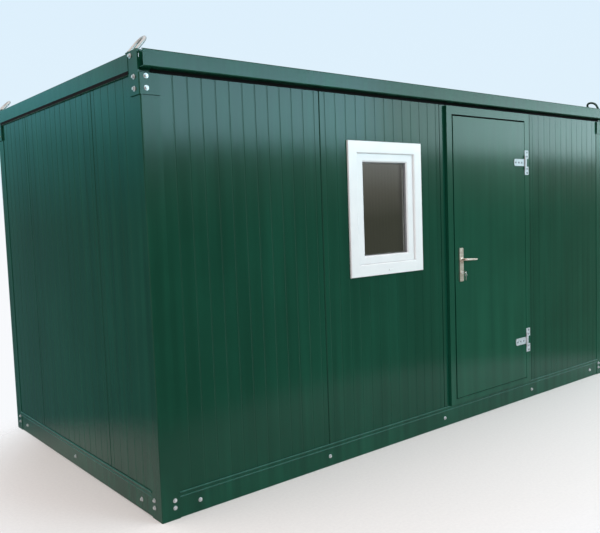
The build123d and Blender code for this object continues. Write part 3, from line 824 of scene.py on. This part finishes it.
shape = bmesh.new()
for x, y, top, runs in (
    (end_rail_x, -rail_low.y, rail_high.z, rail_runs),
    (strip_high.x, strip_high.y, strip_high.z, strip_runs),
):
    z = top - ROLL
    for x0, x1 in runs:
        rolled_edge(shape, (x0, -y, z), (x1, -y, z), (0, -1, 0))
    rolled_edge(shape, (-post_x, y, z), (post_x, y, z), (0, 1, 0))
    for side in SIDES:
        rolled_edge(shape, (side * x, -post_y, z), (side * x, post_y, z), (side, 0, 0))
# The rolled edges take the paler paint, a painted highlight for the fine light lines along the wall's foot.
finish_piece("rolled_edges", shape, edge_highlight_coat, "cabin")

# %% Roof flashing
eaves_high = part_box("eaves_beam_front")[1]
FLASHING_FACE = 1.1578
FLASHING_UPRIGHT = 0.0015
FLASHING_LID = 0.0012
FLASHING_FOOT = 2.322
ROOF_LAP = 0.009
FLASHING_INSET = 0.0002
FLASHING_DROP = 0.0015
flashing_x = eaves_high.x - FLASHING_INSET
flashing_top = eaves_high.z - FLASHING_DROP

shape = bmesh.new()
for side in SIDES:
    y0, y1 = between(side, FLASHING_FACE, FLASHING_FACE - FLASHING_UPRIGHT)
    sheet(shape, (-flashing_x, y0, FLASHING_FOOT), (flashing_x, y1, flashing_top), THIN_EDGE)
    y0, y1 = between(side, FLASHING_FACE, roof_high.y - ROOF_LAP)
    sheet(shape, (-flashing_x, y0, flashing_top - FLASHING_LID), (flashing_x, y1, flashing_top), THIN_EDGE)
finish_piece("roof_flashing", shape, frame_coat, "cabin")

# %% Door closing strips
DOOR_GAP = 0.012
HINGE_CLEAR = 0.0025
HINGE_SET_BACK = 0.002
SILL_CLEAR = 0.004
SILL_SET_BACK = 0.001
jamb_edge = leaf_high.x + DOOR_GAP

shape = bmesh.new()
low = (leaf_high.x + HINGE_CLEAR, leaf_low.y + HINGE_SET_BACK, leaf_low.z)
sheet(shape, low, (jamb_edge, leaf_high.y, leaf_high.z), FINE_EDGE)
low = (leaf_low.x - SEAL_REACH, leaf_low.y + SILL_SET_BACK, leaf_low.z - DOOR_GAP)
sheet(shape, low, (jamb_edge, leaf_high.y, leaf_low.z - SILL_CLEAR), FINE_EDGE)
finish_piece("door_closing_strips", shape, door_coat, "cabin")

# %% [markdown]
# Hinge bolts.
# A T-hinge has a long strap on the leaf and an upright plate on the frame. Coach bolts with round
# heads go through both, because a head that cannot be gripped outside keeps the door from being taken
# off. The strap's bolts ride on the door and the plate's bolts stay on the cabin.

# %% Coach bolts
def dome_screw(radius):
    """A low round head."""
    outline = [(1.0, 0.0), (0.97, 0.2), (0.6, 0.48), (0.0, 0.6)]
    return turned_form([(radius * out, radius * up) for out, up in outline])


strap_low, strap_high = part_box("hinge_straps")
plate_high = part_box("hinge_frame_leaves")[1]
COACH_BOLT = 0.0075
STRAP_HALF = 0.027
STRAP_THICK = 0.004
STRAP_BOLTS = (0.022, 0.062, 0.102)
PLATE_BOLTS = (-0.079, -0.047, 0.047, 0.079)
PLATE_INSET = 0.019
hinge_face = leaf_low.y - STRAP_THICK

on_door = bmesh.new()
on_frame = bmesh.new()
for z in (strap_low.z + STRAP_HALF, strap_high.z - STRAP_HALF):
    for along in STRAP_BOLTS:
        place = (strap_low.x + along, hinge_face, z)
        add_form(on_door, dome_screw(COACH_BOLT), facing((0, -1, 0), place))
    for rise in PLATE_BOLTS:
        place = (plate_high.x - PLATE_INSET, hinge_face, z + rise)
        add_form(on_frame, dome_screw(COACH_BOLT), facing((0, -1, 0), place))
finish_piece("strap_bolts", on_door, dull_zinc, "door")
finish_piece("hinge_plate_bolts", on_frame, dull_zinc, "cabin")

# %% [markdown]
# Lock, lever and keys.
# The lever is a bent bar: a ring is extruded for the neck, spun a quarter turn for the elbow, extruded
# along the arm and closed with a rounded end, with its section drawn in a little towards the tip. A
# collar hides the hole in the plate. A spare key hangs on a split ring from the key in the lock.

# %% Lever bar
plates_low, plates_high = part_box("lock_plates")
lever_low, lever_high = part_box("lever_handle")
LEVER_DROP = 0.082
LEVER_RADIUS = 0.0083
LEVER_ELBOW = 0.014
LEVER_TIP = 0.008
lock_x = (plates_low.x + plates_high.x) / 2
lever_z = plates_high.z - LEVER_DROP
neck = plates_low.y - lever_low.y - LEVER_RADIUS - LEVER_ELBOW
half_arm = (lever_high.x - lock_x - LEVER_ELBOW - LEVER_TIP) / 2
LEVER_STEPS = ((half_arm, -0.002, 0.94), (half_arm, -0.003, 0.92), (0.005, 0, 0.82), (0.003, 0, 0.5))


def lever_bar():
    """A lever whose neck stands on z = 0 along +Z and whose arm runs along +X."""
    bar = bmesh.new()
    bmesh.ops.create_circle(bar, cap_ends=False, radius=LEVER_RADIUS, segments=20)
    grown = bmesh.ops.extrude_edge_only(bar, edges=bar.edges[:])["geom"]
    bmesh.ops.translate(bar, vec=(0, 0, neck), verts=verts_of(grown))
    rim = verts_of(grown) + edges_of(grown)
    bent = bmesh.ops.spin(
        bar, geom=rim, cent=(LEVER_ELBOW, 0, neck), axis=(0, 1, 0), angle=math.pi / 2, steps=8,
        use_merge=False,
    )["geom_last"]
    last = edges_of(bent)
    for step, drop, narrow in LEVER_STEPS:
        grown = bmesh.ops.extrude_edge_only(bar, edges=last)["geom"]
        ring = verts_of(grown)
        bmesh.ops.translate(bar, vec=(step, drop, 0), verts=ring)
        middle = sum((v.co for v in ring), Vector()) / len(ring)
        bmesh.ops.scale(bar, vec=(1, narrow, narrow), verts=ring, space=Matrix.Translation(-middle))
        last = edges_of(grown)
    bmesh.ops.holes_fill(bar, edges=last)
    return bar


print("the lever's neck is", round(neck, 4), "m and half its arm", round(half_arm, 4), "m")

# %% Levers and collars
OUTSIDE = Matrix.Rotation(math.pi / 2, 4, "X")
INSIDE = Matrix.Rotation(-math.pi / 2, 4, "X") @ Matrix.Diagonal((1, -1, 1, 1))
COLLAR_OUTLINE = [(0.0150, 0), (0.0150, 0.003), (0.0130, 0.005), (0.0093, 0.0055)]

levers = bmesh.new()
collars = bmesh.new()
for turn, y in ((OUTSIDE, plates_low.y), (INSIDE, plates_high.y)):
    place = Matrix.Translation((lock_x, y, lever_z)) @ turn
    add_form(levers, lever_bar(), place)
    add_form(collars, turned_form(COLLAR_OUTLINE, 24), place)
finish_piece("lever_bars", levers, nickel, "handle", ["lever_handle"])
finish_piece("lever_collars", collars, nickel, "door")

# %% Lock screws and faceplates
LOCK_SCREW = 0.0045
LOCK_SCREW_INSET = 0.013
FACEPLATE = 0.0015
FACEPLATE_HALF = 0.010
FACEPLATE_DROP = 0.165
FACEPLATE_RISE = 0.070
STRIKE_HALF = 0.011
STRIKE_DROP = 0.130
STRIKE_RISE = 0.040

shape = bmesh.new()
for outward, y in ((-1, plates_low.y), (1, plates_high.y)):
    for z in (plates_low.z + LOCK_SCREW_INSET, plates_high.z - LOCK_SCREW_INSET):
        add_form(shape, dome_screw(LOCK_SCREW), facing((0, outward, 0), (lock_x, y, z)))
finish_piece("lock_screws", shape, nickel, "door")

leaf_middle = (leaf_low.y + leaf_high.y) / 2
shape = bmesh.new()
low = (leaf_low.x - FACEPLATE, leaf_middle - FACEPLATE_HALF, lever_z - FACEPLATE_DROP)
sheet(shape, low, (leaf_low.x, leaf_middle + FACEPLATE_HALF, lever_z + FACEPLATE_RISE), THIN_EDGE)
finish_piece("lock_faceplate", shape, nickel, "door")

jamb_face = leaf_low.x - DOOR_GAP
shape = bmesh.new()
low = (jamb_face, leaf_middle - STRIKE_HALF, lever_z - STRIKE_DROP)
sheet(shape, low, (jamb_face + FACEPLATE, leaf_middle + STRIKE_HALF, lever_z + STRIKE_RISE), THIN_EDGE)
finish_piece("strike_plate", shape, nickel, "cabin")

# %% Hanging key
barrel_low, barrel_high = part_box("lock_cylinder")
RING_RADIUS = 0.0095
WIRE = 0.0009
RING_SLACK = 0.002
BOW_HOLE = 0.0042
BOW_RADIUS = 0.0105
KEY_HALF = 0.0011
BLADE_HALF = 0.0038
BLADE_TOP = 0.0100
BLADE_FOOT = 0.036
KEY_DEPTH = 0.006
key_hole = Vector((lock_x, barrel_low.y + KEY_DEPTH, (barrel_low.z + barrel_high.z) / 2))


def wire_ring(radius, wire):
    """A ring of round wire in the plane z = 0."""
    turns = [step * math.tau / 8 for step in range(9)]
    return turned_form([(radius + wire * math.cos(t), wire * math.sin(t)) for t in turns], 28)


shape = bmesh.new()
ring_middle = key_hole - (RING_RADIUS - RING_SLACK) * UP
add_form(shape, wire_ring(RING_RADIUS, WIRE), facing((0, 1, 0), ring_middle))
bow = square_section(BOW_HOLE, BOW_RADIUS, -KEY_HALF, KEY_HALF)
bow_middle = ring_middle - (RING_RADIUS + RING_SLACK) * UP
add_form(shape, turned_form([*bow, bow[0]], 24), facing((1, 0, 0), bow_middle))
blade_low = bow_middle - Vector((KEY_HALF, BLADE_HALF, BLADE_FOOT))
blade_high = bow_middle + Vector((KEY_HALF, BLADE_HALF, -BLADE_TOP))
sheet(shape, blade_low, blade_high, THIN_EDGE)
finish_piece("hanging_key", shape, plated, "door")

# %% [markdown]
# The inside sheets.
# A sandwich panel has a second skin towards the room. It is thinner than a millimetre, so it is laid
# as sheets on the panels' inner faces: one for each plain wall and the ceiling, and a patchwork of
# rectangles round the door and the window on the front.

# %% Liners
LINER = 0.0008
CEILING_INSET = 0.050
room_x, room_y, room_foot = deck_high
room_head = post_high.z
ceiling_x = room_x - CEILING_INSET
ceiling_y = room_y - CEILING_INSET
door_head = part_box("door_head")[1].z
columns = [-room_x, frame_low.x + FRAME_LAP, frame_high.x - FRAME_LAP, jamb_left, jamb_right, room_x]
rows = [room_foot, frame_low.z + FRAME_LAP, frame_high.z - FRAME_LAP, door_head, room_head]

shape = bmesh.new()
for column, (x0, x1) in enumerate(zip(columns, columns[1:])):
    for row, (z0, z1) in enumerate(zip(rows, rows[1:])):
        at_window = column == 1 and row == 1
        at_door = column == 3 and row < 3
        if not at_window and not at_door:
            sheet(shape, (x0, -room_y, z0), (x1, -room_y + LINER, z1))
sheet(shape, (-room_x, room_y - LINER, room_foot), (room_x, room_y, room_head))
for side in SIDES:
    x0, x1 = between(side, room_x, room_x - LINER)
    sheet(shape, (x0, -room_y + LINER, room_foot), (x1, room_y - LINER, room_head))
sheet(shape, (-ceiling_x, -ceiling_y, roof_low.z - LINER), (ceiling_x, ceiling_y, roof_low.z))
finish_piece("room_liners", shape, liner, "cabin")

# %% [markdown]
# Camera and floor.
# The camera repeats the picture's place: at eye height, off the near corner, turned 39 degrees from
# the line of the end wall and rolled two degrees. The floor is a plain pale sheet that fades out in an
# oval, so that it has no hard rim.

# %% Camera
CAMERA_PLACE = Vector((-3.8436, -4.2852, 1.5599))
CAMERA_YAW = 0.6841
CAMERA_PITCH = -0.0773
CAMERA_ROLL = -0.0354
FOCAL_PIXELS = 694.14
IMAGE_WIDTH = 600


def aim_camera(place, yaw, pitch, roll):
    """A camera at a place, turned from +Y towards +X by yaw, then pitched and rolled, in radians."""
    ahead = math.cos(pitch)
    forward = Vector((math.sin(yaw) * ahead, math.cos(yaw) * ahead, math.sin(pitch)))
    level = Vector((math.cos(yaw), -math.sin(yaw), 0))
    above = level.cross(forward)
    right = math.cos(roll) * level + math.sin(roll) * above
    up = math.cos(roll) * above - math.sin(roll) * level
    data = bpy.data.cameras.new("picture_camera")
    data.sensor_fit = "HORIZONTAL"
    data.lens = FOCAL_PIXELS / IMAGE_WIDTH * data.sensor_width
    camera = bpy.data.objects.new("picture_camera", data)
    scene.collection.objects.link(camera)
    turn = Matrix((right, up, -forward)).transposed()
    camera.matrix_world = Matrix.Translation(place) @ turn.to_4x4()
    return camera


scene.camera = aim_camera(CAMERA_PLACE, CAMERA_YAW, CAMERA_PITCH, CAMERA_ROLL)
print("lens", round(scene.camera.data.lens, 2), "mm")

# %% Floor
FLOOR_HALF = 4.5
FADE_X = 3.7
FADE_Y = 2.55
FADE_MIDDLE = -0.55
FADE_START = 0.70

pale = matt_finish("pale_floor", (0.84, 0.84, 0.845), (0.88, 0.88, 0.88), (0.75, 0.9))
tree = pale.node_tree
oval = {
    "Vector": add_node(tree, "ShaderNodeTexCoord").outputs["Object"],
    "Location": (0, -FADE_MIDDLE / FADE_Y, 0),
    "Scale": (1 / FADE_X, 1 / FADE_Y, 1),
}
in_oval = add_node(tree, "ShaderNodeMapping", oval).outputs[0]
reach = add_node(tree, "ShaderNodeVectorMath", {0: in_oval}, operation="LENGTH").outputs["Value"]
fade = span(tree, reach, 1.0, 0.0, FADE_START, 1.0, interpolation_type="SMOOTHSTEP")
link(tree, fade, tree.nodes["Principled BSDF"], "Alpha")
shape = bmesh.new()
bmesh.ops.create_grid(shape, x_segments=4, y_segments=4, size=FLOOR_HALF)
floor = new_object("studio_floor", shape, pale)
print("floor:", floor.name)

# %% [markdown]
# Light.
# Glossy green paint looks like what it mirrors, so the lamp is a long panel above head height, in two
# parts: it shows in the top of the walls and leaves the foot of them dark. The backdrop is pale behind
# the cabin. Two tall dim cards stand where the long wall and the end wall mirror them, as dark cards
# are set beside a glossy object in a studio. They don't show to the camera.

# %% Lamps
PANEL_Y = -10.0
PANEL_Z = 4.02
PANEL_HEIGHT = 1.95
TOWARDS_WALL = Vector((0, 1, 0))


def soft_panel(name, x, width, radiance, colour):
    """A soft lamp panel; its power follows from its area, so the brightness of its face is set."""
    data = bpy.data.lights.new(name, "AREA")
    data.shape = "RECTANGLE"
    data.size = width
    data.size_y = PANEL_HEIGHT
    data.energy = radiance * math.pi * width * PANEL_HEIGHT
    data.color = colour
    lamp = bpy.data.objects.new(name, data)
    lamp.location = (x, PANEL_Y, PANEL_Z)
    lamp.rotation_euler = TOWARDS_WALL.to_track_quat("-Z", "Y").to_euler()
    lamp.visible_camera = False
    scene.collection.objects.link(lamp)
    return lamp


near_panel = soft_panel("light_panel_near", 5.0, 7, 11.5, (0.49, 0.86, 1.0))
far_panel = soft_panel("light_panel_far", 15.5, 14, 6.6, (0.66, 0.95, 1.0))
print("lamps:", near_panel.name, far_panel.name)

# %% Backdrop
STRENGTH = 1.66
BEHIND_CABIN = (0.63, 0.78, 0)
PALE_FROM = 0.15
PALE_TO = 0.80
PLAIN_STOPS = [
    (0.0, (0.48, 0.466, 0.462)),
    (0.20, (0.45, 0.44, 0.44)),
    (0.50, (0.52, 0.44, 0.40)),
    (0.80, (1.0, 0.90, 0.87)),
]
PALE_STOPS = [(0.0, (0.565, 0.575, 0.59)), (0.10, (0.45, 0.53, 0.588)), (0.4, (0.43, 0.52, 0.592))]

scene.world = bpy.data.worlds.new("studio")
scene.world.use_nodes = True
tree = scene.world.node_tree
direction = add_node(tree, "ShaderNodeTexCoord").outputs["Generated"]
height = axis(tree, direction, "Z")
both_ways = {0: direction, 1: BEHIND_CABIN}
lean = add_node(tree, "ShaderNodeVectorMath", both_ways, operation="DOT_PRODUCT").outputs["Value"]
share = span(tree, lean, 0.0, 1.0, PALE_FROM, PALE_TO, interpolation_type="SMOOTHSTEP")
# A Mix node keeps its two colours in sockets 6 and 7, and gives the mixed one in socket 2.
colours = {0: share, 6: ramp(tree, height, PLAIN_STOPS), 7: ramp(tree, height, PALE_STOPS)}
mixed = add_node(tree, "ShaderNodeMix", colours, data_type="RGBA").outputs[2]
link(tree, mixed, tree.nodes["Background"], "Color")
tree.nodes["Background"].inputs["Strength"].default_value = STRENGTH
scene.view_settings.view_transform = "Standard"
print("world strength", STRENGTH)

# %% Dim cards
CARD_FOOT = -10.0
CARD_TOP = 9.0
CARD_HEIGHT = CARD_TOP - CARD_FOOT


def dim_card(name, x_low, x_high, y, stops):
    """A tall card that the camera doesn't see and the cabin mirrors: colours by height in metres."""
    material, tree, _, place = new_finish(name)
    rise = span(tree, axis(tree, place, "Z"), 0.0, 1.0, CARD_FOOT, CARD_TOP)
    colour = ramp(tree, rise, [((z - CARD_FOOT) / CARD_HEIGHT, tone) for z, tone in stops])
    glow = add_node(tree, "ShaderNodeEmission", {"Color": colour, "Strength": STRENGTH}).outputs[0]
    link(tree, glow, tree.nodes["Material Output"], "Surface")
    shape = bmesh.new()
    bmesh.ops.create_grid(shape, x_segments=2, y_segments=2, size=0.5)
    bmesh.ops.scale(shape, vec=(x_high - x_low, CARD_HEIGHT, 1), verts=shape.verts)
    bmesh.ops.rotate(shape, matrix=Matrix.Rotation(math.radians(90), 3, "X"), verts=shape.verts)
    centre = ((x_low + x_high) / 2, y, (CARD_FOOT + CARD_TOP) / 2)
    bmesh.ops.translate(shape, vec=centre, verts=shape.verts)
    card = new_object(name, shape, material)
    card.visible_camera = False
    return card


front_card = dim_card("front_card", -2.0, 28.0, -10.6, [
    (1.3, (0.17, 0.172, 0.135)),
    (2.0, (0.30, 0.29, 0.25)),
    (2.8, (0.52, 0.52, 0.50)),
    (5.0, (0.36, 0.35, 0.35)),
    (9.0, (0.44, 0.41, 0.39)),
])
end_card = dim_card("end_card", -17.0, -4.0, 18.0, [
    (1.4, (0.075, 0.135, 0.150)),
    (2.5, (0.080, 0.19, 0.21)),
    (4.0, (0.11, 0.33, 0.37)),
    (5.7, (0.26, 0.78, 0.90)),
    (7.4, (0.46, 0.66, 0.70)),
    (9.0, (0.44, 0.47, 0.48)),
])
print("cards:", front_card.name, end_card.name)
